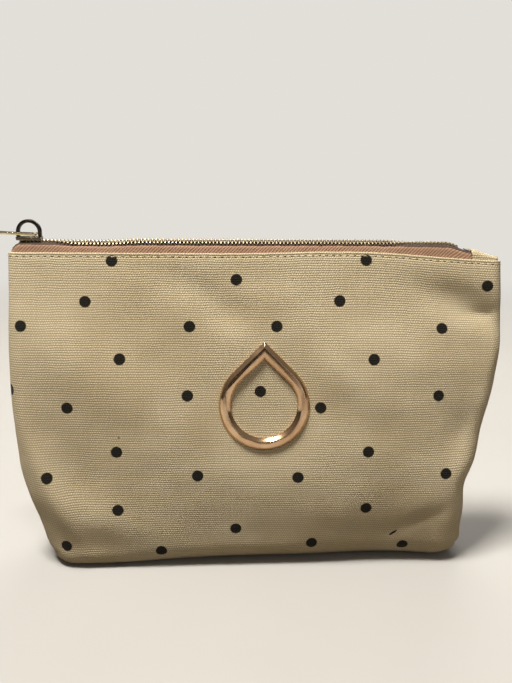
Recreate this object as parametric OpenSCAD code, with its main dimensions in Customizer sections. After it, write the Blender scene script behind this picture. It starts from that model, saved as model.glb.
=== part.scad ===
/* [Bag] */
// Width of the mouth from side seam to side seam
mouth_w = 245; // [215:1:290]
// Depth of the mouth over both rims
mouth_d = 14; // [13:0.5:18]
// Width of the base
base_w = 216; // [185:1:235]
// Depth of the base
base_d = 48; // [42:1:62]
// Height of the rims above the base
rim_h = 160; // [135:1:190]
// Height over which the side seams draw in towards the base
taper_h = 98; // [80:1:120]
// Radius of the rolled edge round the base
base_r = 14; // [9:0.5:15]
// Plan radius of the corners at the base
base_corner_r = 16; // [15:0.5:19]
// Plan radius of the corners at the mouth
mouth_corner_r = 5; // [4.2:0.1:6]
// Swell of the front and back faces between base and rim
face_swell = 5.5; // [0:0.5:7]

/* [Cloth] */
// Thickness of the canvas
canvas_t = 1.2; // [0.8:0.1:1.5]
// Thickness of the lining
lining_t = 0.5; // [0.3:0.1:0.8]
// Thickness of the zip tape
tape_t = 0.6; // [0.4:0.1:0.8]
// Thickness of the folded tab over the zip end
tab_t = 0.8; // [0.6:0.1:1]
// Clearance between layers of cloth
cloth_gap = 0.25; // [0.1:0.05:0.4]
// Distance of the lining's folded edge below the rim
lining_drop = 3; // [2:0.5:6]

/* [Zip] */
// Height of the chain's middle above the rims
chain_rise = 5; // [4.8:0.1:8]
// Length over which the chain dips towards its closed end
dip_l = 17; // [15:0.5:30]
// Depth of that dip
dip_h = 3.7; // [2:0.1:4]
// Distance between teeth of one row
tooth_pitch = 1.84; // [1.7:0.02:2.6]
// Length of a tooth along the chain
tooth_l = 0.75; // [0.6:0.05:0.8]
// Height of a tooth's jaws
tooth_h = 2; // [1.6:0.1:2.2]
// Height of a tooth's hooked head
tooth_head_h = 1.3; // [1:0.1:1.5]
// Reach of a tooth's jaws over the tape
tooth_jaw = 1.1; // [0.8:0.1:1.4]
// Reach of a tooth's head past the middle of the chain
tooth_lap = 0.4; // [0.2:0.05:0.6]
// Gap between the edges of the two tapes
tape_gap = 2.2; // [2:0.1:2.6]
// Half width of the tapes where they turn down to the rims
tape_shoulder = 4.8; // [4.6:0.1:5.2]
// Drop of the tape from the chain to that turn
tape_fall = 1; // [0.6:0.1:1.1]
// Width of tape sewn inside each rim
tape_skirt = 8; // [5:0.5:12]
// Clearance of a tooth's jaws and of the stops on the tape
clamp_gap = 0.05; // [0.02:0.01:0.1]
// Length of the folded tab over the zip end
tab_l = 13.5; // [9:0.5:18]
// Height inside that tab where it meets the corner
tab_low = 0.8; // [0.5:0.1:2]
// Length of a stop along the chain
stop_l = 1.8; // [1.2:0.1:2.4]
// Thickness of a top stop's web past the tape's edge
stop_web = 0.4; // [0.3:0.05:0.6]

/* [Slider] */
// Length of the slider
slider_l = 12; // [10:0.5:14]
// Width of the slider across its shoulders
slider_nose_w = 8; // [7.6:0.1:8.4]
// Width of the slider at its tail
slider_tail_w = 6.8; // [6.6:0.1:7.4]
// Thickness of the slider's plates
plate_t = 0.9; // [0.7:0.1:1.2]
// Thickness of the flanges that guide the teeth
flange_t = 0.7; // [0.5:0.05:0.8]
// Height of the flanges
flange_h = 0.7; // [0.4:0.1:0.8]
// Clearance of the slider round the teeth
slider_gap = 0.3; // [0.2:0.05:0.45]
// Width of the wedge that parts the teeth
wedge_w = 1.5; // [1:0.1:1.6]
// Length of that wedge
wedge_l = 3.4; // [2.6:0.1:4]
// Distance of the slider's nose from the side seam
nose_inset = 4; // [3.8:0.1:8]
// Outer radius of the crown's arch
crown_r = 6.2; // [5.6:0.1:6.6]
// Thickness of the crown's strip
crown_t = 1.7; // [1.2:0.1:2]
// Width of the crown's strip
crown_w = 2.4; // [1.8:0.1:2.8]
// Height of the crown's straight legs
crown_leg = 2.3; // [1.8:0.1:3]

/* [Pull] */
// Length of the pull from its pivot to its tip
pull_l = 38; // [30:1:50]
// Width of the pull at its broad end
pull_w = 15; // [11:0.5:18]
// Width of the pull at its neck
neck_w = 4.6; // [4:0.1:5.4]
// Thickness of the pull
pull_t = 1.2; // [1:0.1:1.4]
// Diameter of the bar that hangs in the crown
bar_d = 1.6; // [1.2:0.1:1.8]
// Width of the side bars of the pull's eye
eye_bar_w = 1.3; // [1:0.1:1.6]
// Length of each end of that bar outside the eye
bar_end = 0.25; // [0.1:0.05:0.4]
// Clearance of the eye round the crown
eye_gap = 0.5; // [0.3:0.05:0.8]
// Offset of the pivot from the middle of the crown
pivot_off = 3; // [2.4:0.1:3.2]
// Droop of the pull at rest in degrees
pull_droop = 2; // [0:0.25:2.5]

/* [Ornament] */
// Width of the drop-shaped ornament
drop_w = 45; // [35:1:55]
// Height of the ornament
drop_h = 54; // [48:1:66]
// Width of the ornament's bar
drop_bar = 6; // [5:0.5:8]
// Thickness of the ornament's bar
drop_t = 2.6; // [2:0.1:3.4]
// Height of the ornament's straight edge below the bevels
drop_edge = 0.9; // [0.6:0.1:1.4]
// Width of the ornament's flat crest between the bevels
drop_crest = 2.2; // [1:0.1:3]
// Offset of the ornament from the middle of the bag
drop_x = 4; // [-20:0.5:20]
// Height of the ornament's middle above the base
drop_z = 91; // [75:0.5:105]
// Gap between the ornament's back and the canvas
drop_seat = 0.1; // [0.05:0.05:0.3]
// Diameter of the posts on the ornament's back
post_d = 1.6; // [1.2:0.1:2]
// Clearance round a post in the canvas
post_gap = 0.2; // [0.1:0.05:0.4]
// Diameter of the washers inside the canvas
washer_d = 6; // [4.5:0.5:8]
// Thickness of the washers
washer_t = 0.5; // [0.4:0.05:0.6]
// Running clearance of a washer's bore on its post
washer_gap = 0.05; // [0.03:0.01:0.1]

/* [Hidden] */
$fn = 48;

// Facets of the lofted cloth
corner_steps = 5;
front_steps = 8;
edge_steps = 4;
wall_steps = 13;
seam_pull = 0.97;

// Layers inside the rims, counted inwards from the outer face
layer_t = max(tape_t, tab_t);
lining_off = canvas_t + cloth_gap + layer_t + cloth_gap;
least_corner_r = 0.4;

// Places along the chain
chain_z = rim_h + chain_rise;
slider_x = -mouth_w / 2 + nose_inset + slider_l / 2;
tab_end = mouth_w / 2 - canvas_t - cloth_gap;
tab_start = tab_end - tab_l;
top_stop_x = slider_x - slider_l / 2 - slider_gap - stop_l / 2;
tape_start = top_stop_x - stop_l / 2 - cloth_gap;
tape_end = tab_start - cloth_gap;
bottom_stop_x = tape_end - stop_l;
wedge_x = slider_x - slider_l / 2 + wedge_l / 2 + plate_t;
first_tooth = wedge_x + wedge_l / 2 + tooth_l;
tooth_rows = floor((bottom_stop_x - stop_l / 2 - first_tooth - tooth_pitch) / tooth_pitch);
dip_start = tape_end - dip_l;
slider_travel = dip_start - slider_gap - slider_x - slider_l / 2;
echo(slider_travel = slider_travel);

// Heights in the slider, counted from the chain's middle
channel_h = tooth_h / 2 + slider_gap;
channel_w = tape_gap / 2 + tooth_jaw + slider_gap;
plate_top = channel_h + plate_t;
pivot_x = slider_x + pivot_off;
crown_z = chain_z + plate_top + crown_leg;
pivot_z = chain_z + plate_top + slider_gap + pull_t / 2 + (slider_l / 2 + pivot_off) * tan(pull_droop);
echo(pivot = [pivot_x, 0, pivot_z]);

function smooth(t) = t * t * (3 - 2 * t);
function flat(list) = [for (row = list) each row];
function unit(v) = v / norm(v);

// Half sizes and corner radius of the bag's plan at a height
function half_w(z) = base_w / 2 + (mouth_w - base_w) / 2 * smooth(min(z / taper_h, 1));
function half_d(z) = base_d / 2 + (mouth_d - base_d) / 2 * z / rim_h + face_swell * sin(180 * z / rim_h);
function corner_r(z) = base_corner_r + (mouth_corner_r - base_corner_r) * z / rim_h;

// Lean of the swelled faces at a height in degrees, and their gain in half depth below the rims
function lean_at(z) = atan(((base_d - mouth_d) / 2 - PI * face_swell * cos(180 * z / rim_h)) / rim_h);
function flare(drop) = half_d(rim_h - drop) - half_d(rim_h);

// Height of the chain's middle over the rims at a place along it, and its slope in degrees
function dip_part(x) = min(max((x - dip_start) / dip_l, 0), 1);
function rise_at(x) = chain_rise - dip_h * smooth(dip_part(x));
function slope_at(x) = atan(6 * dip_part(x) * (1 - dip_part(x)) * dip_h / dip_l);

// Local frame on the chain's middle: X along the chain
module on_chain(x) {
    translate([x, 0, rim_h + rise_at(x)])
        rotate([0, slope_at(x), 0])
            children();
}

// Half depth inside the rim at a place along it, at an inset from the outer face
function rim_depth(x, inset) =
    let (r = max(least_corner_r, mouth_corner_r - inset))
    let (over = max(0, abs(x) - (half_w(rim_h) - inset - r)))
    half_d(rim_h) - inset - r + sqrt(max(0, r * r - over * over));

// One half ring of the plan, from the left seam round the front to the right seam
function half_ring(z, inset) =
    let (a = half_w(z) - inset, b = half_d(z) - inset)
    let (r = max(least_corner_r, corner_r(z) - inset))
    concat(
        [[-a, 0, z]],
        [for (i = [0 : corner_steps])
            let (t = 90 * i / corner_steps) [-a + r - r * cos(t), -b + r - r * sin(t), z]],
        [for (i = [1 : front_steps - 1]) [-a + r + 2 * (a - r) * i / front_steps, -b, z]],
        [for (i = [0 : corner_steps])
            let (t = 90 * i / corner_steps) [a - r + r * sin(t), -b + r - r * cos(t), z]],
        [[a, 0, z]]
    );

// Rings of one cloth surface: base seam, base edge, rolled edge, then the wall up to a height
function cloth_rings(inset, top) = concat(
    [[for (p = half_ring(0, base_r)) [p.x * seam_pull, 0, inset]]],
    [[for (p = half_ring(0, base_r)) [p.x, p.y, inset]]],
    [for (k = [1 : edge_steps])
        let (t = 90 * k / edge_steps, r = base_r - inset)
        let (ring = half_ring(base_r - r * cos(t), base_r - r * sin(t))) ring],
    [for (k = [1 : wall_steps]) half_ring(base_r + (top - base_r) * k / wall_steps, inset)]
);

// Closed sheet between two grids of points with the same rows and columns
module sheet(outer, inner) {
    rows = len(outer);
    cols = len(outer[0]);
    n = rows * cols;
    skin = [for (r = [0 : rows - 2], c = [0 : cols - 2])
        let (i = r * cols + c)
        each [[i, i + cols, i + cols + 1], [i, i + cols + 1, i + 1]]];
    rim = concat(
        [for (c = [0 : cols - 1]) c],
        [for (r = [1 : rows - 1]) r * cols + cols - 1],
        [for (c = [1 : cols - 1]) n - 1 - c],
        [for (r = [1 : rows - 2]) (rows - 1 - r) * cols]
    );
    m = len(rim);
    edge = [for (k = [0 : m - 1])
        let (i = rim[k], j = rim[(k + 1) % m])
        each [[i, j, j + n], [i, j + n, i + n]]];
    back = [for (f = skin) [f[0] + n, f[2] + n, f[1] + n]];
    polyhedron(points = concat(flat(outer), flat(inner)), faces = concat(skin, back, edge));
}

// Outline with each corner rounded from a given cut-back, or kept sharp where that is zero
function round_path(path, cuts, steps = 6) = [
    for (i = [0 : len(path) - 1])
        let (p = path[i], a = path[(i + len(path) - 1) % len(path)], b = path[(i + 1) % len(path)])
        let (s = p + unit(a - p) * cuts[i], e = p + unit(b - p) * cuts[i])
        each cuts[i] == 0 ? [p] : [for (k = [0 : steps])
            let (t = k / steps) (1 - t) * (1 - t) * s + 2 * t * (1 - t) * p + t * t * e]
];

// Half of the lined bag: one layer of cloth from an inset to another
module cloth_half(inset, thickness, top) {
    sheet(cloth_rings(inset, top), cloth_rings(inset + thickness, top));
}

// Local frame on the front face: X across, Y up the face, Z outwards
module on_front_face() {
    translate([drop_x, -half_d(drop_z), drop_z])
        rotate([90 - lean_at(drop_z), 0, 0])
            children();
}

// Height of the curved face over that frame's plane at a distance up from its middle
function face_off(up) =
    let (a = lean_at(drop_z), z = drop_z + up * cos(a))
    (half_d(z) - half_d(drop_z)) * cos(a) + (z - drop_z) * sin(a);

// Places of the ornament's posts, in the local frame on the face
post_ring_r = drop_w / 2 - drop_bar / 2;
drop_slant = asin(drop_w / 2 / (drop_h - drop_w / 2));
drop_low = drop_w / 2 - drop_h / 2;
post_angles = [62, 180, 298];
post_reach = canvas_t + cloth_gap + washer_t + cloth_gap / 2;

module at_posts() {
    for (t = post_angles)
        let (up = drop_low + post_ring_r * cos(t))
            translate([post_ring_r * sin(t), up, face_off(up)])
                children();
}

module front_panel() {
    color("wheat") difference() {
        cloth_half(0, canvas_t, rim_h);
        on_front_face() at_posts()
            translate([0, 0, -2 * canvas_t])
                cylinder(d = post_d + 2 * post_gap, h = 3 * canvas_t);
    }
}

module back_panel() {
    color("wheat") mirror([0, 1, 0]) cloth_half(0, canvas_t, rim_h);
}

module front_lining() {
    color("linen") cloth_half(lining_off, lining_t, rim_h - lining_drop);
}

module back_lining() {
    color("linen") mirror([0, 1, 0]) cloth_half(lining_off, lining_t, rim_h - lining_drop);
}

// Section of the front tape from the chain to the hem inside the rim, shifted by half its thickness
function tape_section(x, side) =
    let (h = tape_t / 2 * side, y = rim_depth(x, canvas_t + cloth_gap + tape_t / 2))
    let (jaw_y = tape_gap / 2 + tooth_jaw)
    let (top = rim_h + rise_at(x), fall = tape_fall * rise_at(x) / chain_rise)
    [
        [x, -tape_gap / 2, top + h],
        [x, -jaw_y, top + h],
        [x, -tape_shoulder - h, top - fall + h],
        [x, -y - h, rim_h + tape_t],
        [x, -y - h - flare(tape_skirt), rim_h - tape_skirt]
    ];

tape_corner_steps = 4;
tape_dip_steps = ceil(2 * dip_l / tooth_pitch);
tape_stations = [
    for (k = [0 : tape_corner_steps]) tape_start + mouth_corner_r * k / tape_corner_steps,
    for (k = [0 : tape_dip_steps]) dip_start + dip_l * k / tape_dip_steps
];

module half_tape() {
    sheet(
        [for (x = tape_stations) tape_section(x, 1)],
        [for (x = tape_stations) tape_section(x, -1)]
    );
}

module front_tape() {
    color("rosybrown") half_tape();
}

module back_tape() {
    color("rosybrown") mirror([0, 1, 0]) half_tape();
}

// Tooth clamped on the front tape's edge: jaws round the tape and a lower head that laps the middle
tooth_outline = let (
    heel = -tape_gap / 2 - tooth_jaw,
    root = -tape_gap / 2 + clamp_gap,
    neck = -tooth_lap,
    slot = tape_t / 2 + clamp_gap
) [
    [heel, slot], [heel, tooth_h / 2], [neck, tooth_h / 2], [neck, tooth_head_h / 2],
    [tooth_lap, tooth_head_h / 2], [tooth_lap, -tooth_head_h / 2],
    [neck, -tooth_head_h / 2], [neck, -tooth_h / 2], [heel, -tooth_h / 2], [heel, -slot],
    [root, -slot], [root, slot]
];

module tooth() {
    rotate([90, 0, 90])
        linear_extrude(tooth_l, center = true)
            polygon(tooth_outline);
}

module tooth_row(start) {
    for (i = [0 : tooth_rows - 1])
        on_chain(start + i * tooth_pitch)
            tooth();
}

module front_teeth() {
    color("silver") tooth_row(first_tooth);
}

module back_teeth() {
    color("silver") mirror([0, 1, 0]) tooth_row(first_tooth + tooth_pitch / 2);
}

// Stop clamped on the front tape's edge beyond the slider's nose
module top_stop() {
    heel = tape_gap / 2 + tooth_jaw;
    web = tape_gap / 2 - stop_web;
    slot = tape_t + 2 * clamp_gap;
    slot_end = tape_gap / 2 - clamp_gap;
    translate([top_stop_x - stop_l / 2, -heel, chain_z])
        difference() {
            translate([0, 0, -tooth_h / 2]) cube([stop_l, heel - web, tooth_h]);
            translate([-stop_l, -heel, -slot / 2]) cube([3 * stop_l, 2 * heel - slot_end, slot]);
        }
}

module front_top_stop() {
    color("silver") top_stop();
}

module back_top_stop() {
    color("silver") mirror([0, 1, 0]) top_stop();
}

module bottom_stop() {
    slot = tape_t + 2 * clamp_gap;
    web = tape_gap - 2 * clamp_gap;
    width = tape_gap + 2 * tooth_jaw;
    color("silver") on_chain(bottom_stop_x)
        difference() {
            cube([stop_l, width, tooth_h], center = true);
            for (s = [-1, 1])
                translate([0, s * (web + width) / 2, 0])
                    cube([2 * stop_l, width, slot], center = true);
        }
}

// Arched section of the tab over the zip end: skirts inside the rims and a low vault between
tab_stations = 6;
tab_arc_steps = 10;
tab_high = chain_rise - dip_h;
function tab_vault(x) = tab_high + (tab_low - tab_high) * smooth((x - tab_start) / tab_l);
function tab_section(x, in) =
    let (w = rim_depth(x, canvas_t + cloth_gap) - in, foot = tape_skirt / 2)
    concat(
        [[x, -w - flare(foot), rim_h - foot]],
        [for (k = [0 : tab_arc_steps])
            let (t = 180 * k / tab_arc_steps)
            [x, -w * cos(t), rim_h + tape_t + (tab_vault(x) + tab_t - in) * sin(t)]],
        [[x, w + flare(foot), rim_h - foot]]
    );

module zip_end_tab() {
    xs = [for (k = [0 : tab_stations - 1]) tab_start + tab_l * k / (tab_stations - 1)];
    color("wheat") sheet(
        [for (x = xs) tab_section(x, 0)],
        [for (x = xs) tab_section(x, tab_t)]
    );
}

// Plan of the slider's plates: broad rounded shoulders at the nose, narrower at the tail
slider_plan = let (n = slider_nose_w / 2, t = slider_tail_w / 2, l = slider_l / 2) round_path(
    [[-l, -n], [-l, n], [0, n], [l * 0.5, t], [l, t], [l, -t], [l * 0.5, -t], [0, -n]],
    [2, 2, 1.2, 1.2, 0.8, 0.8, 1.2, 1.2]
);

// Channel of the teeth inside the flanges, forked at the nose
channel_plan = let (c = channel_w, n = slider_nose_w / 2 - flange_t, l = slider_l)
    [[-l, -n], [-l, n], [-l * 0.12, n], [l * 0.2, c], [l, c], [l, -c], [l * 0.2, -c], [-l * 0.12, -n]];

module plate() {
    linear_extrude(plate_t) polygon(slider_plan);
}

module slider_body() {
    color("goldenrod") translate([slider_x, 0, chain_z]) {
        translate([0, 0, channel_h]) plate();
        translate([0, 0, -plate_top]) plate();
        translate([0, 0, channel_h - flange_h])
            linear_extrude(flange_h) difference() {
                polygon(slider_plan);
                polygon(channel_plan);
            }
        translate([wedge_x - slider_x, 0, -channel_h])
            linear_extrude(2 * channel_h)
                polygon([[-wedge_l / 2, 0], [0, wedge_w / 2], [wedge_l / 2, 0], [0, -wedge_w / 2]]);
    }
}

module slider_crown() {
    color("dimgray") translate([slider_x, crown_w / 2, crown_z])
        rotate([90, 0, 0])
            linear_extrude(crown_w) {
                intersection() {
                    difference() {
                        circle(r = crown_r);
                        circle(r = crown_r - crown_t);
                    }
                    translate([-crown_r, 0]) square([2 * crown_r, crown_r]);
                }
                for (x = [-crown_r, crown_r - crown_t])
                    translate([x, -crown_leg]) square([crown_t, crown_leg]);
            }
}

// Plan of the pull, along +X from its pivot
eye_in = crown_w / 2 + eye_gap;
eye_out = eye_in + eye_bar_w;
bar_in = bar_d / 6;
eye_l = pivot_off + crown_r + 2 * eye_gap;
pull_plan = let (n = neck_w / 2, w = pull_w / 2, x1 = eye_l + eye_bar_w) round_path(
    [
        [-bar_in, -eye_out], [-bar_in, eye_out], [x1, eye_out], [x1 + eye_bar_w, n],
        [pull_l - 1.2 * w, w], [pull_l, w], [pull_l, -w], [pull_l - 1.2 * w, -w],
        [x1 + eye_bar_w, -n], [x1, -eye_out]
    ],
    [0, 0, 0.6, 0.6, 1.5, w * 0.9, w * 0.9, 1.5, 0.6, 0.6]
);

module pull_tab() {
    color("gold") translate([pivot_x, 0, pivot_z])
        rotate([0, -pull_droop, 180]) {
            translate([0, 0, -pull_t / 2])
                linear_extrude(pull_t) difference() {
                    polygon(pull_plan);
                    translate([-eye_l, -eye_in]) square([2 * eye_l, 2 * eye_in]);
                }
            rotate([90, 0, 0])
                cylinder(d = bar_d, h = 2 * (eye_out + bar_end), center = true);
        }
}

// Drop outline of a given half width: an arc closed by two tangents that meet at the tip
drop_arc_steps = 30;
function drop_path(r) = concat(
    [[0, r / sin(drop_slant)]],
    [for (k = [0 : drop_arc_steps])
        let (t = 90 - drop_slant + (180 + 2 * drop_slant) * k / drop_arc_steps)
        [r * sin(t), r * cos(t)]]
);

// Bevelled section of the ornament's bar: place across the bar and height over its back
drop_section = [
    [-drop_bar / 2, 0], [-drop_bar / 2, drop_edge], [-drop_crest / 2, drop_t],
    [drop_crest / 2, drop_t], [drop_bar / 2, drop_edge], [drop_bar / 2, 0]
];

module drop_ring() {
    n = len(drop_section);
    stations = drop_arc_steps + 2;
    loops = [for (s = drop_section) [for (p = drop_path(post_ring_r + s.x)) [p.x, p.y, s.y]]];
    points = [for (i = [0 : stations - 1], k = [0 : n - 1]) loops[k][i]];
    faces = [for (i = [0 : stations - 1], k = [0 : n - 1])
        let (a = i * n + k, b = i * n + (k + 1) % n)
        let (c = (i + 1) % stations * n + (k + 1) % n, d = (i + 1) % stations * n + k)
        each [[a, b, c], [a, c, d]]];
    translate([0, drop_low, 0]) polyhedron(points = points, faces = faces);
}

module ornament() {
    color("rosybrown") on_front_face() translate([0, 0, drop_seat]) {
        drop_ring();
        at_posts() translate([0, 0, -drop_seat - post_reach])
            cylinder(d = post_d, h = drop_seat + post_reach + drop_t / 2);
    }
}

module ornament_washers() {
    color("silver") on_front_face() at_posts()
        translate([0, 0, -canvas_t - cloth_gap - washer_t])
            difference() {
                cylinder(d = washer_d, h = washer_t);
                translate([0, 0, -washer_t])
                    cylinder(d = post_d + 2 * washer_gap, h = 3 * washer_t);
            }
}

front_panel();
back_panel();
front_lining();
back_lining();
front_tape();
back_tape();
front_teeth();
back_teeth();
front_top_stop();
back_top_stop();
bottom_stop();
zip_end_tab();
slider_body();
slider_crown();
pull_tab();
ornament();
ornament_washers();
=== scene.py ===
"""Looks of a zip makeup bag: dotted canvas, metal zip, gold pull and ornament."""
import logging
import math
from dataclasses import dataclass
from enum import Enum

import bmesh
import bpy
import numpy as np
from mathutils import Matrix, Vector


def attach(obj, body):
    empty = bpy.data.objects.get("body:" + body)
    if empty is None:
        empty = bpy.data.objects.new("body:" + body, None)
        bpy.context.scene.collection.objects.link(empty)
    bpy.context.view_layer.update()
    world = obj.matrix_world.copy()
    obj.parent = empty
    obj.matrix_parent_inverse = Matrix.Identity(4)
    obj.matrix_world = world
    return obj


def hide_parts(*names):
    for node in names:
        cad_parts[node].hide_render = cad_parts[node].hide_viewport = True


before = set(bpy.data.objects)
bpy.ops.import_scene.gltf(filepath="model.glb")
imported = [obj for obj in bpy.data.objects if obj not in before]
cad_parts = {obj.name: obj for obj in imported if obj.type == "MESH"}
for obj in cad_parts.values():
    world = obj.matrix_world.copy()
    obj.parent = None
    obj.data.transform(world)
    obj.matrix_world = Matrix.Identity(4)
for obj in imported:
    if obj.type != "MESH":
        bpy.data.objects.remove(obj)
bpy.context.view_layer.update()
LOG = logging.getLogger("makeup_bag")
MM = 0.001
FLOAT, VECTOR = "NodeSocketFloat", "NodeSocketVector"
Screen = tuple[int, int, int]
Pair = tuple[float, float]
Triple = tuple[float, float, float]


def linear(red: int, green: int, blue: int) -> tuple[float, float, float, float]:
    """Turns an 8 bit screen colour into scene colour.

    Args:
        red: Red from 0 to 255.
        green: Green from 0 to 255.
        blue: Blue from 0 to 255.

    Returns:
        The colour with an alpha of 1.
    """
    parts = [c / 255 for c in (red, green, blue)]
    made = [c / 12.92 if c <= 0.04045 else ((c + 0.055) / 1.055) ** 2.4 for c in parts]
    return (made[0], made[1], made[2], 1.0)


def smooth(t: np.ndarray | float) -> np.ndarray | float:
    """Eases a value between 0 and 1, flat at both ends."""
    t = np.clip(t, 0.0, 1.0)
    return t * t * (3 - 2 * t)


def rising(at: np.ndarray | float, start: float, span: float) -> np.ndarray | float:
    """Eases from 0 to 1 over a span that begins at a start."""
    return smooth((at - start) / span)


def bell(at: np.ndarray | float, middle: float, half: float) -> np.ndarray | float:
    """Soft hump that is 1 at its middle."""
    return np.exp(-((at - middle) / half) ** 2)


def value_noise(x: np.ndarray, y: np.ndarray, seed: int) -> np.ndarray:
    """Smooth noise from -1 to 1 on a unit grid.

    Args:
        x: First coordinate.
        y: Second coordinate.
        seed: Chooses the pattern.

    Returns:
        One value for each point.
    """
    cells = 64
    table = np.random.default_rng(seed).uniform(-1, 1, (cells, cells))
    ix, iy = np.floor(x).astype(int), np.floor(y).astype(int)
    fx, fy = smooth(x - ix), smooth(y - iy)
    rows = [[table[(ix + i) % cells, (iy + j) % cells] for i in (0, 1)] for j in (0, 1)]
    near, far = (first * (1 - fx) + second * fx for first, second in rows)
    return near * (1 - fy) + far * fy


class NodeBuilder:
    """Adds and joins nodes of one tree with few words."""

    # A colour Mix node's sockets go by number, because its other kinds share their names
    mix_inputs = (0, 6, 7)
    mix_output = 2

    def __init__(self, tree: bpy.types.NodeTree) -> None:
        """Keeps the tree that the nodes go to."""
        self.tree = tree

    def add(self, kind: str, **props: object) -> bpy.types.Node:
        """Adds a node.

        Args:
            kind: The node's type name.
            props: Properties to set, such as operation.

        Returns:
            The new node.
        """
        made = self.tree.nodes.new(kind)
        for name, value in props.items():
            setattr(made, name, value)
        return made

    def put(self, value: object, socket: bpy.types.NodeSocket) -> None:
        """Links an output to a socket, or sets a plain value on it."""
        if isinstance(value, bpy.types.NodeSocket):
            self.tree.links.new(value, socket)
        elif value is not None:
            socket.default_value = value

    def row(self, kind: str, *values: object, **props: object) -> bpy.types.Node:
        """Adds a node and fills its first sockets in order."""
        made = self.add(kind, **props)
        for value, socket in zip(values, made.inputs):
            self.put(value, socket)
        return made

    def fill(self, kind: str, inputs: dict[str, object], **props: object) -> bpy.types.Node:
        """Adds a node and fills sockets by name."""
        made = self.add(kind, **props)
        for name, value in inputs.items():
            self.put(value, made.inputs[name])
        return made

    def math(self, op: str, *values: object) -> bpy.types.NodeSocket:
        """Adds a Math node and returns its output."""
        return self.row("ShaderNodeMath", *values, operation=op).outputs[0]

    def vector(self, op: str, *values: object) -> bpy.types.Node:
        """Adds a Vector Math node and returns it."""
        return self.row("ShaderNodeVectorMath", *values, operation=op)

    def split(self, place: object) -> bpy.types.bpy_prop_collection:
        """Parts a vector and returns its outputs X, Y and Z."""
        return self.row("ShaderNodeSeparateXYZ", place).outputs

    def mix(self, part: object, a: object, b: object) -> bpy.types.NodeSocket:
        """Mixes two colours.

        Args:
            part: Share of the second colour.
            a: First colour.
            b: Second colour.

        Returns:
            The mixed colour's socket.
        """
        made = self.add("ShaderNodeMix", data_type="RGBA")
        for value, place in zip((part, a, b), self.mix_inputs):
            self.put(value, made.inputs[place])
        return made.outputs[self.mix_output]

    def ramp(self, value: object, low: float, high: float, to_low: float = 0.0,
             to_high: float = 1.0) -> bpy.types.NodeSocket:
        """Maps a value smoothly from one range to another and returns the socket."""
        made = self.row("ShaderNodeMapRange", value, low, high, to_low, to_high,
                        interpolation_type="SMOOTHSTEP")
        return made.outputs[0]

    def noise(self, place: object, scale: object, detail: float = 3.0,
              rough: float = 0.55) -> bpy.types.NodeSocket:
        """Adds a noise texture and returns its value."""
        inputs = {"Vector": place, "Scale": scale, "Detail": detail, "Roughness": rough}
        return self.fill("ShaderNodeTexNoise", inputs).outputs["Fac"]


def new_group(name: str, inputs: dict[str, tuple[str, object]],
              outputs: dict[str, str]) -> tuple[bpy.types.NodeTree, NodeBuilder, dict, dict]:
    """Starts a shader node group.

    Args:
        name: The group's name.
        inputs: Socket kind and default value for each input.
        outputs: Socket kind for each output.

    Returns:
        The tree, a builder for it, its input sockets and its output sockets by name.
    """
    tree = bpy.data.node_groups.new(name, "ShaderNodeTree")
    for label, (kind, value) in inputs.items():
        made = tree.interface.new_socket(label, in_out="INPUT", socket_type=kind)
        if value is not None:
            made.default_value = value
    for label, kind in outputs.items():
        tree.interface.new_socket(label, in_out="OUTPUT", socket_type=kind)
    build = NodeBuilder(tree)
    start, end = build.add("NodeGroupInput"), build.add("NodeGroupOutput")
    return tree, build, {s.name: s for s in start.outputs}, {s.name: s for s in end.inputs}


@dataclass(frozen=True)
class DotPrint:
    """Polka dots printed on the canvas, in a repeat of millimetres on the flat cloth."""

    radius: float = 2.85
    tile_left: float = -129.0
    tile_top: float = -6.0
    tile_width: float = 125.0
    tile_height: float = 160.0
    flaw_at: Pair = (71.4, 143.6)
    flaw_half: Pair = (2.5, 0.6)
    flaw_turn: float = -38.0
    far_off: float = 1000.0
    places: tuple[Pair, ...] = (
        (-71.0, 4.0), (-10.0, 13.0), (-84.0, 24.0), (-115.0, 36.0), (-33.0, 36.0), (-67.0, 52.0),
        (-123.0, 68.0), (-34.0, 70.0), (-93.0, 76.0), (-69.0, 98.0), (-29.0, 110.0), (-104.0, 111.0),
        (-69.0, 128.0), (-10.0, 139.0), (-96.0, 148.0), (-48.0, 151.0),
    )

    def group(self) -> bpy.types.NodeTree:
        """Makes the node group that finds how far a point lies from the nearest dot's middle."""
        tree, b, get, out = new_group("dot_print", {"Flat": (VECTOR, None)}, {"Distance": FLOAT})
        low = (self.tile_left, self.tile_top, -1.0)
        high = (self.tile_left + self.tile_width, self.tile_top + self.tile_height, 1.0)
        place = b.vector("WRAP", get["Flat"], high, low).outputs["Vector"]
        nearest: object = self.far_off
        for across, down in self.places:
            far = b.vector("DISTANCE", place, (across, down, 0.0)).outputs["Value"]
            nearest = b.math("MINIMUM", nearest, far)
        turned = {"Vector": get["Flat"], "Location": (*self.flaw_at, 0.0), "Scale": (*self.flaw_half, 1.0),
                  "Rotation": (0.0, 0.0, math.radians(self.flaw_turn))}
        flaw = b.fill("ShaderNodeMapping", turned, vector_type="TEXTURE")
        far = b.vector("LENGTH", flaw.outputs["Vector"]).outputs["Value"]
        nearest = b.math("MINIMUM", nearest, b.math("MULTIPLY", far, self.radius))
        b.put(nearest, out["Distance"])
        return tree


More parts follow.
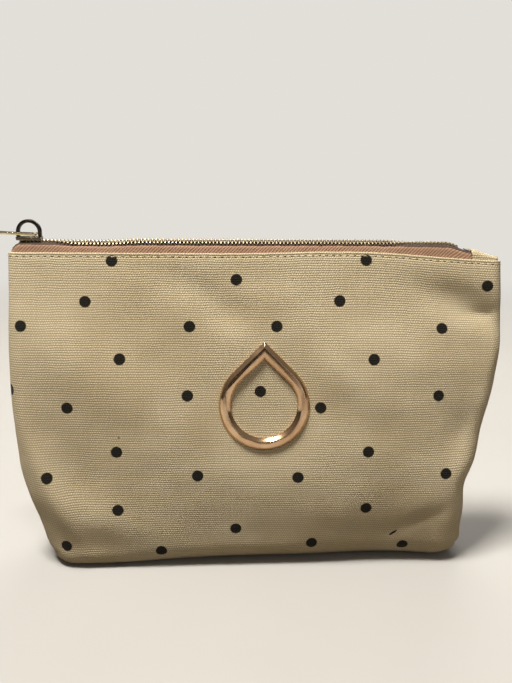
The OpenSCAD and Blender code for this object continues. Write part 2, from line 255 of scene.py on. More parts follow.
def plain_weave_group() -> bpy.types.NodeTree:
    """Makes the node group of a plain weave on flat millimetre coordinates."""
    tree, b, get, out = new_group(
        "plain_weave",
        {"Flat": (VECTOR, None), "Warp Pitch": (FLOAT, 1.25), "Weft Pitch": (FLOAT, 1.35),
         "Warp Height": (FLOAT, 0.75), "Slub": (FLOAT, 0.3)},
        {"Height": FLOAT, "Yarn": FLOAT})
    wander = b.fill("ShaderNodeTexNoise", {"Vector": get["Flat"], "Scale": 0.11, "Detail": 4.0})
    centred = b.vector("SUBTRACT", wander.outputs["Color"], (0.5, 0.5, 0.5)).outputs[0]
    reach = b.math("MULTIPLY", get["Slub"], 6.0)
    shift = b.fill("ShaderNodeVectorMath", {"Scale": reach}, operation="SCALE")
    b.put(centred, shift.inputs[0])
    at = b.split(b.vector("ADD", get["Flat"], shift.outputs[0]).outputs[0])
    x = b.math("DIVIDE", at["X"], get["Warp Pitch"])
    y = b.math("DIVIDE", at["Y"], get["Weft Pitch"])
    column, row = b.math("FLOOR", x), b.math("FLOOR", y)

    def yarn(along: object, across: object, index: object, turn: float) -> bpy.types.NodeSocket:
        """Height of one set of yarns that pass over and under the other set."""
        profile = b.math("ABSOLUTE", b.math("SINE", b.math("MULTIPLY", across, math.pi)))
        phase = b.math("MULTIPLY", b.math("ADD", along, b.math("ADD", index, turn)), math.pi)
        over = b.math("MULTIPLY_ADD", b.math("COSINE", phase), 0.5, 0.5)
        return b.math("MULTIPLY", b.math("POWER", profile, 0.7), over)

    weft = yarn(b.math("SUBTRACT", x, 0.5), y, row, 0.0)
    warp = b.math("MULTIPLY", yarn(b.math("SUBTRACT", y, 0.5), x, column, 1.0), get["Warp Height"])
    b.put(b.math("MAXIMUM", weft, warp), out["Height"])
    tones = []
    for index, salt in ((row, 3.7), (column, 91.3)):
        tone = b.add("ShaderNodeTexWhiteNoise", noise_dimensions="1D")
        b.put(b.math("ADD", index, salt), tone.inputs["W"])
        tones.append(tone.outputs["Value"])
    b.put(b.math("MULTIPLY", b.math("ADD", tones[0], tones[1]), 0.5), out["Yarn"])
    return tree


def herringbone_group() -> bpy.types.NodeTree:
    """Makes the node group of a herringbone tape on flat millimetre coordinates."""
    tree, b, get, out = new_group(
        "herringbone", {"Flat": (VECTOR, None), "Rib": (FLOAT, 1.7), "Band": (FLOAT, 6.5)},
        {"Height": FLOAT, "Shade": FLOAT})
    thread_pitch = 0.42
    at = b.split(get["Flat"])
    fold = b.math("PINGPONG", at["Y"], get["Band"])
    along = b.math("DIVIDE", b.math("ADD", at["X"], fold), get["Rib"])
    wave = b.math("SINE", b.math("MULTIPLY", along, 2 * math.pi))
    fine = b.math("SINE", b.math("MULTIPLY", at["Y"], 2 * math.pi / thread_pitch))
    b.put(b.math("MULTIPLY_ADD", wave, 0.38, b.math("MULTIPLY_ADD", fine, 0.12, 0.5)), out["Height"])
    b.put(b.noise(get["Flat"], 0.35), out["Shade"])
    return tree


def soiling_group() -> bpy.types.NodeTree:
    """Makes the node group of soft handling marks and small seed flecks in metre coordinates."""
    tree, b, get, out = new_group(
        "handling_marks", {"Place": (VECTOR, None), "Size": (FLOAT, 40.0)},
        {"Blotch": FLOAT, "Fleck": FLOAT})
    b.put(b.ramp(b.noise(get["Place"], get["Size"], 5.0, 0.5), 0.38, 0.68), out["Blotch"])
    cells = b.fill("ShaderNodeTexVoronoi", {"Vector": get["Place"], "Scale": 90.0}, feature="F1")
    tone = b.row("ShaderNodeSeparateColor", cells.outputs["Color"]).outputs[0]
    rare = b.math("GREATER_THAN", tone, 0.9)
    near = b.ramp(cells.outputs["Distance"], 0.03, 0.075, 1.0, 0.0)
    b.put(b.math("MULTIPLY", rare, near), out["Fleck"])
    return tree


def smudge_group() -> bpy.types.NodeTree:
    """Makes the node group of finger smudges and fine scratches on metal in metre coordinates."""
    tree, b, get, out = new_group(
        "metal_smudge", {"Place": (VECTOR, None), "Size": (FLOAT, 120.0)},
        {"Smudge": FLOAT, "Scratch": FLOAT})
    b.put(b.ramp(b.noise(get["Place"], get["Size"], 4.0, 0.5), 0.35, 0.7), out["Smudge"])
    long = b.vector("MULTIPLY", get["Place"], (260.0, 2600.0, 1500.0)).outputs[0]
    b.put(b.ramp(b.noise(long, 1.0, 2.0), 0.6, 0.72), out["Scratch"])
    return tree


@dataclass(frozen=True)
class Effects:
    """Node groups that several finishes share."""

    weave: bpy.types.NodeTree
    dots: bpy.types.NodeTree
    marks: bpy.types.NodeTree
    smudge: bpy.types.NodeTree
    herringbone: bpy.types.NodeTree

    @classmethod
    def build(cls, dots: DotPrint) -> "Effects":
        """Makes every group once."""
        return cls(plain_weave_group(), dots.group(), soiling_group(), smudge_group(), herringbone_group())


class Surface:
    """One new material with its shader, its coordinates and a builder for its nodes."""

    def __init__(self, name: str) -> None:
        """Starts the material with a Principled shader alone."""
        self.material = bpy.data.materials.new(name)
        self.material.use_nodes = True
        tree = self.material.node_tree
        self.b = NodeBuilder(tree)
        self.shader = next(n for n in tree.nodes if n.type == "BSDF_PRINCIPLED")
        self.output = next(n for n in tree.nodes if n.type == "OUTPUT_MATERIAL")

    def set(self, **values: object) -> None:
        """Sets or links sockets of the shader, with underscores for the spaces in their names."""
        for name, value in values.items():
            self.b.put(value, self.shader.inputs[name.replace("_", " ")])

    def object_place(self) -> bpy.types.NodeSocket:
        """Coordinates in metres on the piece itself."""
        return self.b.add("ShaderNodeTexCoord").outputs["Object"]

    def flat_place(self) -> bpy.types.NodeSocket:
        """Coordinates in millimetres on the flat cloth."""
        return self.b.add("ShaderNodeAttribute", attribute_name="flat_mm").outputs["Vector"]

    def use(self, group: bpy.types.NodeTree, **inputs: object) -> dict[str, bpy.types.NodeSocket]:
        """Places a node group.

        Args:
            group: The group's tree.
            inputs: Values or sockets for its inputs, with underscores for spaces.

        Returns:
            The group's outputs by name.
        """
        named = {name.replace("_", " "): value for name, value in inputs.items()}
        made = self.b.fill("ShaderNodeGroup", named, node_tree=group)
        return {s.name: s for s in made.outputs}

    def bump(self, height: object, depth_m: float, strength: float) -> bpy.types.NodeSocket:
        """Adds a bump of a given depth in metres and returns the normal."""
        inputs = {"Strength": strength, "Distance": depth_m, "Height": height}
        return self.b.fill("ShaderNodeBump", inputs).outputs["Normal"]


@dataclass(frozen=True)
class CanvasFinish:
    """Coarse cream canvas, with or without the printed dots."""

    light: Screen = (226, 212, 179)
    dark: Screen = (209, 193, 158)
    yarn: Screen = (190, 172, 132)
    pit: Screen = (142, 123, 90)
    fleck: Screen = (112, 78, 46)
    ink: Screen = (17, 16, 14)
    warp_pitch: float = 0.6
    weft_pitch: float = 1.17
    dot_radius: float = DotPrint.radius

    def build(self, name: str, effects: Effects, printed: bool = True) -> bpy.types.Material:
        """Makes the material.

        Args:
            name: The material's name.
            effects: The shared node groups.
            printed: Whether the dots are on it.

        Returns:
            The finished material.
        """
        s = Surface(name)
        b, flat, place = s.b, s.flat_place(), s.object_place()
        weave = s.use(effects.weave, Flat=flat, Warp_Pitch=self.warp_pitch, Weft_Pitch=self.weft_pitch,
                      Warp_Height=0.58, Slub=0.22)
        marks = s.use(effects.marks, Place=place, Size=26.0)
        tone = b.mix(marks["Blotch"], linear(*self.light), linear(*self.dark))
        streak = b.noise(b.vector("MULTIPLY", flat, (0.05, 0.9, 1.0)).outputs[0], 1.0, 4.0)
        tone = b.mix(b.ramp(streak, 0.42, 0.75, 0.0, 0.5), tone, linear(*self.dark))
        tone = b.mix(b.math("MULTIPLY", weave["Yarn"], 0.2), tone, linear(*self.yarn))
        # Painted shade: the weave's low places between the yarns are darkened.
        tone = b.mix(b.ramp(weave["Height"], 0.1, 0.85, 0.8, 0.0), tone, linear(*self.pit))
        tone = b.mix(b.math("MULTIPLY", marks["Fleck"], 0.75), tone, linear(*self.fleck))
        if printed:
            gap = s.use(effects.dots, Flat=flat)["Distance"]
            ragged = b.math("MULTIPLY_ADD", b.noise(flat, 1.6, 2.0), 0.5, -0.25)
            ragged = b.math("MULTIPLY_ADD", weave["Height"], -0.22, b.math("ADD", gap, ragged))
            inside = b.ramp(ragged, self.dot_radius - 0.32, self.dot_radius + 0.12, 1.0, 0.0)
            worn = b.math("MULTIPLY", inside, b.ramp(b.noise(flat, 2.4, 2.0), 0.25, 0.45, 0.9, 0.985))
            tone = b.mix(worn, tone, linear(*self.ink))
        fibre = b.noise(flat, 5.5, 3.0)
        height = b.math("MULTIPLY_ADD", fibre, 0.16, weave["Height"])
        s.set(Base_Color=tone, Roughness=0.94, Specular_IOR_Level=0.12, Sheen_Weight=0.04,
              Sheen_Roughness=0.5, Normal=s.bump(height, 0.00042, 0.76))
        return s.material


@dataclass(frozen=True)
class LiningFinish:
    """Fine plain cotton inside the bag."""

    light: Screen = (203, 186, 160)
    dark: Screen = (180, 160, 132)
    pit: Screen = (120, 102, 78)

    def build(self, name: str, effects: Effects) -> bpy.types.Material:
        """Makes the material."""
        s = Surface(name)
        flat, place = s.flat_place(), s.object_place()
        weave = s.use(effects.weave, Flat=flat, Warp_Pitch=0.55, Weft_Pitch=0.5, Slub=0.12)
        marks = s.use(effects.marks, Place=place, Size=34.0)
        tone = s.b.mix(marks["Blotch"], linear(*self.light), linear(*self.dark))
        # Painted shade: the weave's low places between the yarns are darkened.
        tone = s.b.mix(s.b.ramp(weave["Height"], 0.1, 0.7, 0.4, 0.0), tone, linear(*self.pit))
        s.set(Base_Color=tone, Roughness=0.9, Specular_IOR_Level=0.2,
              Normal=s.bump(weave["Height"], 0.00012, 0.6))
        return s.material


@dataclass(frozen=True)
class TapeFinish:
    """Dusty pink herringbone zip tape, with a painted shadow band under the teeth."""

    light: Screen = (180, 144, 116)
    dark: Screen = (145, 111, 87)
    shade: Screen = (168, 124, 98)
    blotch: Screen = (126, 92, 68)
    grime: Screen = (44, 30, 21)
    grime_w: float = 3.7
    grime_fade: float = 0.5

    def build(self, name: str, effects: Effects) -> bpy.types.Material:
        """Makes the material."""
        s = Surface(name)
        flat = s.flat_place()
        rib = s.use(effects.herringbone, Flat=flat, Rib=1.7, Band=16.0)
        marks = s.use(effects.marks, Place=s.object_place(), Size=60.0)
        tone = s.b.mix(s.b.ramp(rib["Height"], 0.2, 0.8), linear(*self.dark), linear(*self.light))
        tone = s.b.mix(s.b.math("MULTIPLY", rib["Shade"], 0.25), tone, linear(*self.shade))
        tone = s.b.mix(s.b.math("MULTIPLY", marks["Blotch"], 0.2), tone, linear(*self.blotch))
        # Painted shade: a dark band along the tape just below the teeth, where their shadow falls.
        edge = s.b.ramp(s.b.split(flat)["Y"], self.grime_w, self.grime_w + self.grime_fade, 0.92, 0.0)
        tone = s.b.mix(edge, tone, linear(*self.grime))
        s.set(Base_Color=tone, Roughness=0.78, Specular_IOR_Level=0.3, Sheen_Weight=0.06,
              Normal=s.bump(rib["Height"], 0.00022, 0.8))
        return s.material


@dataclass(frozen=True)
class ThreadFinish:
    """Cotton sewing thread with a twist."""

    colour: Screen = (226, 210, 174)
    worn: float = 0.84
    furrow: float = 0.68

    def shaded(self, share: float) -> tuple[float, float, float, float]:
        """The thread's colour at a share of its brightness."""
        return linear(*(int(v * share) for v in self.colour))

    def build(self, name: str, effects: Effects) -> bpy.types.Material:
        """Makes the material."""
        s = Surface(name)
        place = s.object_place()
        wave = s.b.fill("ShaderNodeTexWave", {"Vector": place, "Scale": 520.0},
                        wave_type="BANDS", bands_direction="DIAGONAL")
        marks = s.use(effects.marks, Place=place, Size=50.0)
        tone = s.b.mix(marks["Blotch"], linear(*self.colour), self.shaded(self.worn))
        # Painted shade: the furrows of the thread's twist are darkened.
        tone = s.b.mix(s.b.math("MULTIPLY", wave.outputs["Fac"], 0.3), tone, self.shaded(self.furrow))
        s.set(Base_Color=tone, Roughness=0.75, Specular_IOR_Level=0.3,
              Normal=s.bump(wave.outputs["Fac"], 0.00008, 0.6))
        return s.material


@dataclass(frozen=True)
class MetalFinish:
    """Plated and polished metal with smudges and fine scratches."""

    colour: Screen
    dull: Screen
    roughness: float = 0.16
    dull_roughness: float = 0.3
    scratch: float = 0.4
    smudge_size: float = 120.0

    def build(self, name: str, effects: Effects) -> bpy.types.Material:
        """Makes the material."""
        s = Surface(name)
        marks = s.use(effects.smudge, Place=s.object_place(), Size=self.smudge_size)
        part = s.b.math("MULTIPLY", marks["Smudge"], 0.6)
        tone = s.b.mix(part, linear(*self.colour), linear(*self.dull))
        rough = s.b.ramp(marks["Smudge"], 0.0, 1.0, self.roughness, self.dull_roughness)
        s.set(Base_Color=tone, Metallic=1.0, Roughness=rough,
              Normal=s.bump(marks["Scratch"], 0.000012, self.scratch))
        return s.material


class Metal(Enum):
    """The metal finishes of the bag, by the slot that they fill."""

    ZIP_TEETH = MetalFinish((178, 164, 134), (136, 120, 94), 0.46, 0.56)
    STOPS = MetalFinish((214, 206, 190), (168, 158, 140), 0.16, 0.3)
    # Painted reflection: the slider's polished gold is darkened to stand for the dark surroundings that it
    # reflects.
    SLIDER = MetalFinish((132, 116, 88), (78, 66, 50), 0.14, 0.28)
    CROWN = MetalFinish((62, 56, 50), (34, 30, 27), 0.22, 0.36)
    PULL = MetalFinish((232, 212, 166), (196, 172, 124), 0.2, 0.32)
    ORNAMENT = MetalFinish((218, 186, 148), (182, 140, 104), 0.1, 0.22, 0.25, 70.0)
    WASHERS = MetalFinish((168, 168, 164), (122, 122, 118), 0.3, 0.45)


def new_object(name: str, data: bpy.types.ID) -> bpy.types.Object:
    """Puts new data in the scene as an object at the origin."""
    made = bpy.data.objects.new(name, data)
    bpy.context.scene.collection.objects.link(made)
    return made


def shade_smooth(mesh: bpy.types.Mesh) -> None:
    """Shades every face smooth."""
    mesh.polygons.foreach_set("use_smooth", [True] * len(mesh.polygons))


def add_mesh(name: str, points: np.ndarray, faces: list,
             flat: np.ndarray | None = None) -> bpy.types.Object:
    """Makes a smooth shaded mesh object from millimetre points.

    Args:
        name: The object's name.
        points: Points in millimetres, one row each.
        faces: Point numbers of each face.
        flat: Flat cloth coordinates of each point, if it is cloth.

    Returns:
        The new object at the origin.
    """
    mesh = bpy.data.meshes.new(name)
    mesh.from_pydata([tuple(p) for p in points * MM], [], faces)
    shade_smooth(mesh)
    if flat is not None:
        layer = mesh.attributes.new("flat_mm", "FLOAT_VECTOR", "POINT")
        layer.data.foreach_set("vector", flat.ravel())
    mesh.update()
    return new_object(name, mesh)


def grid_faces(rows: int, cols: int, flip: bool) -> list:
    """Quads of a grid of points in row order.

    Args:
        rows: Number of rows.
        cols: Number of columns.
        flip: Whether the faces turn the other way.

    Returns:
        Point numbers of each quad.
    """
    starts = [r * cols + c for r in range(rows - 1) for c in range(cols - 1)]
    made = [(i, i + 1, i + cols + 1, i + cols) for i in starts]
    return [f[::-1] for f in made] if flip else made


def tube_faces(rings: int, sides: int) -> list:
    """Faces of a tube of equal rings of points, closed at both ends.

    Args:
        rings: Number of rings.
        sides: Points in each ring.

    Returns:
        Point numbers of each face.
    """
    made = []
    for low in range(0, (rings - 1) * sides, sides):
        for k in range(sides):
            j = (k + 1) % sides
            made.append((low + k, low + j, low + sides + j, low + sides + k))
    return made + [tuple(range(sides))[::-1], tuple(range((rings - 1) * sides, rings * sides))]


def row_steps(grid: np.ndarray) -> np.ndarray:
    """Lengths of the steps along each row of a grid."""
    return np.linalg.norm(np.diff(grid, axis=1), axis=2)


def walked(steps: np.ndarray) -> np.ndarray:
    """Distances from the start of each row, from the lengths of its steps."""
    return np.concatenate([np.zeros((len(steps), 1)), np.cumsum(steps, axis=1)], axis=1)


def freeze(piece: bpy.types.Object) -> bpy.types.Object:
    """Turns a piece's modifiers into its plain mesh."""
    graph = bpy.context.evaluated_depsgraph_get()
    plain = bpy.data.meshes.new_from_object(piece.evaluated_get(graph), depsgraph=graph)
    piece.modifiers.clear()
    old, piece.data = piece.data, plain
    plain.name = piece.name
    bpy.data.meshes.remove(old)
    return piece


def cloth_sheet(name: str, grid: np.ndarray, flat: np.ndarray, flip: bool,
                thickness_mm: float) -> bpy.types.Object:
    """Makes a piece of cloth with its thickness.

    Args:
        name: The piece's name.
        grid: Points on the cloth's middle in millimetres, as rows by columns by 3.
        flat: Flat places of the same points.
        flip: Whether the faces turn the other way.
        thickness_mm: Thickness, half of it on each side.

    Returns:
        The finished piece.
    """
    rows, cols = grid.shape[:2]
    made = add_mesh(name, grid.reshape(-1, 3), grid_faces(rows, cols, flip), flat.reshape(-1, 3))
    solid = made.modifiers.new("cloth_thickness", "SOLIDIFY")
    solid.thickness = thickness_mm * MM
    solid.offset = 0.0
    solid.use_rim = True
    solid.use_quality_normals = True
    return freeze(made)


def dress(piece: bpy.types.Object, material: bpy.types.Material, slot: str, body: str,
          *nodes: str) -> bpy.types.Object:
    """Gives a piece its finish, its body and the solids that it stands for.

    Args:
        piece: The finished mesh object.
        material: Its material.
        slot: Not used.
        body: The body that carries it.
        nodes: The solids that it replaces.

    Returns:
        The same piece.
    """
    piece.data.materials.clear()
    piece.data.materials.append(material)
    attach(piece, body)
    if nodes:
        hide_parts(*nodes)
    LOG.info("%s: %d faces on %s", piece.name, len(piece.data.polygons), body)
    return piece


@dataclass(frozen=True)
class Dent:
    """A soft hollow or swell of the cloth, as a turned oval in flat millimetres."""

    across: float
    down: float
    half_across: float
    half_down: float
    turn: float
    depth: float

    def at(self, s: np.ndarray, t: np.ndarray) -> np.ndarray:
        """Height of the oval at flat places."""
        a = math.radians(self.turn)
        x, y = s - self.across, t - self.down
        u, v = x * math.cos(a) + y * math.sin(a), -x * math.sin(a) + y * math.cos(a)
        return self.depth * np.exp(-(u / self.half_across) ** 2 - (v / self.half_down) ** 2)


@dataclass(frozen=True)
class BagShape:
    """Plan and profile of the sewn bag in millimetres."""

    mouth_half_w: float = 122.5
    mouth_half_d: float = 7.0
    base_half_w: float = 108.0
    base_half_d: float = 24.0
    rim_h: float = 160.0
    taper_h: float = 98.0
    base_r: float = 14.0
    base_corner_r: float = 16.0
    mouth_corner_r: float = 5.0
    face_swell: float = 5.5
    seam_pull: float = 0.97
    side_steps: int = 8
    corner_steps: int = 12
    face_steps: int = 112

    def half_w(self, z: float) -> float:
        """Half width of the bag at a height."""
        return self.base_half_w + (self.mouth_half_w - self.base_half_w) * float(smooth(z / self.taper_h))

    def half_d(self, z: float) -> float:
        """Half depth of the bag at a height."""
        swell = self.face_swell * math.sin(math.pi * z / self.rim_h)
        return self.base_half_d + (self.mouth_half_d - self.base_half_d) * z / self.rim_h + swell

    def corner(self, z: float) -> float:
        """Corner radius of the bag's plan at a height."""
        return self.base_corner_r + (self.mouth_corner_r - self.base_corner_r) * z / self.rim_h

    def rim_depth(self, x: float, inset: float) -> float:
        """Half depth inside the rim at a place along it."""
        r = max(0.4, self.mouth_corner_r - inset)
        over = max(0.0, abs(x) - (self.mouth_half_w - inset - r))
        return self.mouth_half_d - inset - r + math.sqrt(max(0.0, r * r - over * over))

    def flare(self, drop: float) -> float:
        """Gain in half depth at a distance below the rim."""
        return self.half_d(self.rim_h - drop) - self.mouth_half_d

    def face_length(self, low: float, high: float) -> float:
        """Length of the face's curve between two heights."""
        z = np.linspace(low, high, 40)
        depth = np.array([self.half_d(float(v)) for v in z])
        return float(np.hypot(np.diff(z), np.diff(depth)).sum())

    def ring(self, z: float, inset: float) -> np.ndarray:
        """Half ring of the plan from the left seam round the front to the right seam.

        Args:
            z: Height of the ring.
            inset: Distance inside the outer face.

        Returns:
            Points as x, y, z rows.
        """
        a, b = self.half_w(z) - inset, self.half_d(z) - inset
        r = max(0.4, self.corner(z) - inset)
        side = [(-a, -(b - r) * i / self.side_steps) for i in range(self.side_steps)]
        turn = [math.pi / 2 * i / self.corner_steps for i in range(self.corner_steps)]
        left = [(-a + r - r * math.cos(t), -b + r - r * math.sin(t)) for t in turn]
        face = [(-a + r + 2 * (a - r) * i / self.face_steps, -b) for i in range(self.face_steps + 1)]
        right = [(-x, y) for x, y in reversed(side + left)]
        return np.array([(x, y, z) for x, y in side + left + face + right])


class Side(Enum):
    """The two halves of the bag, by the sign of their depth."""

    FRONT = -1
    BACK = 1

    @property
    def label(self) -> str:
        """First word of the names of this side's pieces."""
        return self.name.lower()

    @property
    def sag(self) -> float:
        """Share of the front's roll at the foot that this side has."""
        return 1.0 if self is Side.FRONT else 0.4

    def mirror(self, grid: np.ndarray) -> np.ndarray:
        """Moves points of the front half to this side."""
        return grid * np.array([1, -self.value, 1])


@dataclass
class ClothShell:
    """Canvas panels and lining of the bag, lofted and then dented and creased like worn cloth."""

    shape: BagShape
    canvas_t: float = 0.56
    canvas_mid: float = 0.3
    fold_r: float = 0.36
    hem_l: float = 8.0
    lining_t: float = 0.4
    lining_mid: float = 2.75
    lining_drop: float = 3.0
    base_steps: int = 8
    roll_steps: int = 12
    wall_steps: int = 70
    rim_band: float = 7.0
    rim_steps: int = 14
    fold_steps: int = 6
    hem_steps: int = 4
    crease_depth: float = 0.9
    crease_w: float = 1.4
    stitch_down: float = 1.9
    stitch_pitch: float = 3.4
    stitch_sink: float = 0.28
    stitch_lift: float = 0.03
    stitch_skip: int = 4
    rim_droop: float = 3.0
    rim_arch: float = 1.2
    foot_roll: float = 2.5
    foot_tuck: float = 3.5
    left_foot: float = 5.6
    left_swell: float = 3.4
    right_toe: float = 4.5
    toe_ahead: float = 0.3
    right_waist: float = 4.2
    right_hollow: float = 2.6
    right_swell: float = 2.8
    lining_ripple: float = 0.35
    lining_lift: float = 0.3
    lining_seed: int = 11
    ornament_at: Pair = (4.0, 69.0)
    ornament_reach: Pair = (30.0, 36.0)
    back_print: Pair = (297.0, 193.0)
    panel_cut: Pair = (0.256, 0.19)
    lining_cut: Pair = (0.25, 0.178)
    # Height, length across and down, and start across and down of each set of ripples
    ripples: tuple[tuple[float, ...], ...] = ((0.55, 34, 26, 7, 3), (0.22, 13, 11, 2, 5))
    front_dents: tuple[Dent, ...] = (
        Dent(-78, 64, 44, 19, 36, 3.3),
        Dent(0, 112, 95, 40, 0, 3.2),
        Dent(-80, 134, 30, 13, 18, 3.0),
        Dent(-16, 27, 32, 9, 37, -2.2),
        Dent(70, 54, 36, 18, 12, 2.6),
        Dent(40, 62, 34, 10, 22, 1.4),
        Dent(109, 26, 27, 9.5, 25, -4.1),
        Dent(113, 27, 10, 2.6, -4, -1.2),
        Dent(107, 90, 14, 15, 15, -3.2),
        Dent(114, 64, 26, 32, 0, -2.8),
        Dent(-100, 119, 28, 4.5, 68, 2.9),
        Dent(-87, 112, 26, 7, 68, -1.3),
        Dent(84, 136, 15, 3.5, -25, -0.9),
        Dent(86, 124, 11, 9, -20, 0.8),
    )
    back_dents: tuple[Dent, ...] = (
        Dent(0, 108, 95, 34, 0, 1.8),
        Dent(-92, 24, 32, 8, 22, -1.5),
        Dent(70, 130, 28, 6, -26, -1.4),
        Dent(-30, 60, 26, 18, 30, -1.0),
        Dent(50, 50, 30, 14, -20, -0.8),
    )

    def profile(self, mid: float, top: float, hemmed: bool) -> list[tuple[float, float, float]]:
        """Height, inset and distance below the rim of each row from the base edge up.

        Args:
            mid: Distance of the cloth's middle inside the outer face.
            top: Height of the upper edge.
            hemmed: Whether the edge folds over and hangs down inside.

        Returns:
            The rows above the flat of the base.
        """
        r = self.shape.base_r - mid
        rows = []
        for k in range(self.roll_steps):
            a = math.pi / 2 * k / self.roll_steps
            low = self.shape.face_length(self.shape.base_r, top) + r * (math.pi / 2 - a)
            rows.append((self.shape.base_r - r * math.cos(a), self.shape.base_r - r * math.sin(a), low))
        end = top - (self.fold_r + self.canvas_t / 2 if hemmed else 0.0)
        fine = end - self.rim_band
        for k in range(self.wall_steps):
            z = self.shape.base_r + (fine - self.shape.base_r) * k / self.wall_steps
            rows.append((z, mid, self.shape.face_length(z, top)))
        for k in range(self.rim_steps + 1):
            z = fine + self.rim_band * k / self.rim_steps
            rows.append((z, mid, self.shape.face_length(z, top)))
        if hemmed:
            for k in range(1, self.fold_steps + 1):
                a = math.pi * k / self.fold_steps
                inset = mid + self.fold_r * (1 - math.cos(a))
                rows.append((end + self.fold_r * math.sin(a), inset, (top - end) - self.fold_r * a))
            for k in range(1, self.hem_steps + 1):
                fall = self.hem_l * k / self.hem_steps
                rows.append((end - fall, mid + 2 * self.fold_r, (top - end) - math.pi * self.fold_r - fall))
        return rows

    def loft(self, mid: float, top: float, hemmed: bool) -> tuple[np.ndarray, np.ndarray]:
        """Grid of points and of flat places for the front half.

        Args:
            mid: Distance of the cloth's middle inside the outer face.
            top: Height of the upper edge.
            hemmed: Whether the edge folds over.

        Returns:
            Points and flat places, each as rows by columns by 3.
        """
        rows = self.profile(mid, top, hemmed)
        rings = [self.shape.ring(z, inset) for z, inset, _ in rows]
        downs = [down for _, _, down in rows]
        edge = rings[0]
        seam = edge * np.array([self.shape.seam_pull, 0.0, 1.0])
        steps = [k / self.base_steps for k in range(self.base_steps)]
        base = [seam + (edge - seam) * part for part in steps]
        reach = self.shape.base_half_d - self.shape.base_r
        grid = np.array(base + rings)
        down = np.array([downs[0] + reach * (1 - part) for part in steps] + downs)
        return grid, self.flat_places(grid, down)

    def flat_places(self, grid: np.ndarray, down: np.ndarray) -> np.ndarray:
        """Flat places of a grid, walked along each row from its middle.

        Args:
            grid: Points as rows by columns by 3.
            down: Distance of each row below the rim.

        Returns:
            Flat places as rows by columns by 3.
        """
        steps = row_steps(grid)
        steps[:self.base_steps] = steps[self.base_steps]
        along = walked(steps)
        along -= along[:, along.shape[1] // 2][:, None]
        below = np.repeat(down[:, None], along.shape[1], axis=1)
        return np.stack([along, below, np.zeros_like(along)], axis=2)

    @staticmethod
    def normals(grid: np.ndarray) -> np.ndarray:
        """Outward directions at the points of a grid."""
        out = np.cross(np.gradient(grid, axis=1), np.gradient(grid, axis=0))
        return out / np.maximum(np.linalg.norm(out, axis=2, keepdims=True), 1e-9)

    def relief(self, flat: np.ndarray, side: Side, seed: int) -> np.ndarray:
        """Height of the dents, swells, creases and ripples over the loft, in millimetres."""
        s, t = flat[..., 0], flat[..., 1]
        dents = self.front_dents if side is Side.FRONT else self.back_dents
        high = sum(d.at(s, t) for d in dents)
        for k, (tall, across, down, first, second) in enumerate(self.ripples):
            high = high + tall * value_noise(s / across + first, t / down + second, seed + k)
        if side is Side.FRONT:
            u, v = s - self.ornament_at[0], t - self.ornament_at[1]
            off = (u / self.ornament_reach[0]) ** 2 + (v / self.ornament_reach[1]) ** 2
            near = np.exp(-off ** 2)
            flat_back = 0.001 * v ** 2 - 0.12
            high = high * (1 - near) + flat_back * near
        high = high * rising(t, 1.5, 16)
        outside = (t > 0.4).astype(float)
        high = high - outside * self.stitch_sink * bell(t, self.stitch_down, 0.8)
        bottom = self.shape.face_length(self.shape.base_r, self.shape.rim_h)
        high = high * (1 - rising(t, bottom + 2, 10))
        edge = np.abs(s).max(axis=1, keepdims=True) - np.abs(s)
        high = high * rising(edge, 0, 15) - self.crease_depth * bell(edge, 0, self.crease_w)
        box = bell(t, bottom + 6.5, self.crease_w) * (1 - rising(edge, 20, 6))
        return high - 0.8 * self.crease_depth * box

    def settle(self, points: np.ndarray, sag: float = 1.0) -> np.ndarray:
        """Lets the rim droop at the right, the face roll under at the foot and the sides swell.

        Args:
            points: Points of the front half in millimetres.
            sag: Share of the roll at the foot.

        Returns:
            The moved points.
        """
        x, y, z = points[..., 0], points[..., 1], points[..., 2]
        droop = self.rim_droop * rising(x, 55, 75) - self.rim_arch * bell(x, 42, 34)
        droop = droop * rising(z, 95, 65)
        roll = self.foot_roll * rising(x, -75, 90) * (1 - rising(z, 0, 60))
        roll = roll + self.foot_tuck * bell(x, 66, 34) * (1 - rising(z, 2, 34))
        tuck = sag * roll * rising(-y, 3, 12)
        ahead = sag * self.left_foot * bell(x, -88, 44) * (1 - rising(z, 0.5, 13))
        toe = sag * self.toe_ahead * self.right_toe * bell(x, 104, 13) * (1 - rising(z, 3, 30))
        left = rising(-x, 92, 24) * self.left_swell * bell(z, 46, 26)
        right = rising(x, 92, 20) * (
            self.right_waist * bell(z, 43, 12) + self.right_hollow * bell(z, 68, 18)
            - self.right_swell * bell(z, 120, 21) - self.right_toe * bell(z, 3, 9))
        out = points.copy()
        out[..., 0] = x - left - right
        out[..., 1] = y + tuck - (ahead + toe) * rising(-y, 4, 12)
        out[..., 2] = z - droop
        return out

    def panel(self, side: Side, seed: int) -> tuple[bpy.types.Object, np.ndarray, np.ndarray]:
        """Makes one canvas panel.

        Args:
            side: Front or back.
            seed: Chooses the ripples.

        Returns:
            The piece, its grid of points and its flat places.
        """
        grid, flat = self.loft(self.canvas_mid, self.shape.rim_h, True)
        grid = self.settle(grid + self.normals(grid) * self.relief(flat, side, seed)[..., None], side.sag)
        flat = self.flat_places(grid, flat[:, 0, 1])
        grid = side.mirror(grid)
        back = side is Side.BACK
        printed = flat + np.array([*self.back_print, 0.0]) if back else flat
        made = cloth_sheet(f"{side.label}_panel_cloth", grid, printed, back, self.canvas_t)
        return made, grid, flat

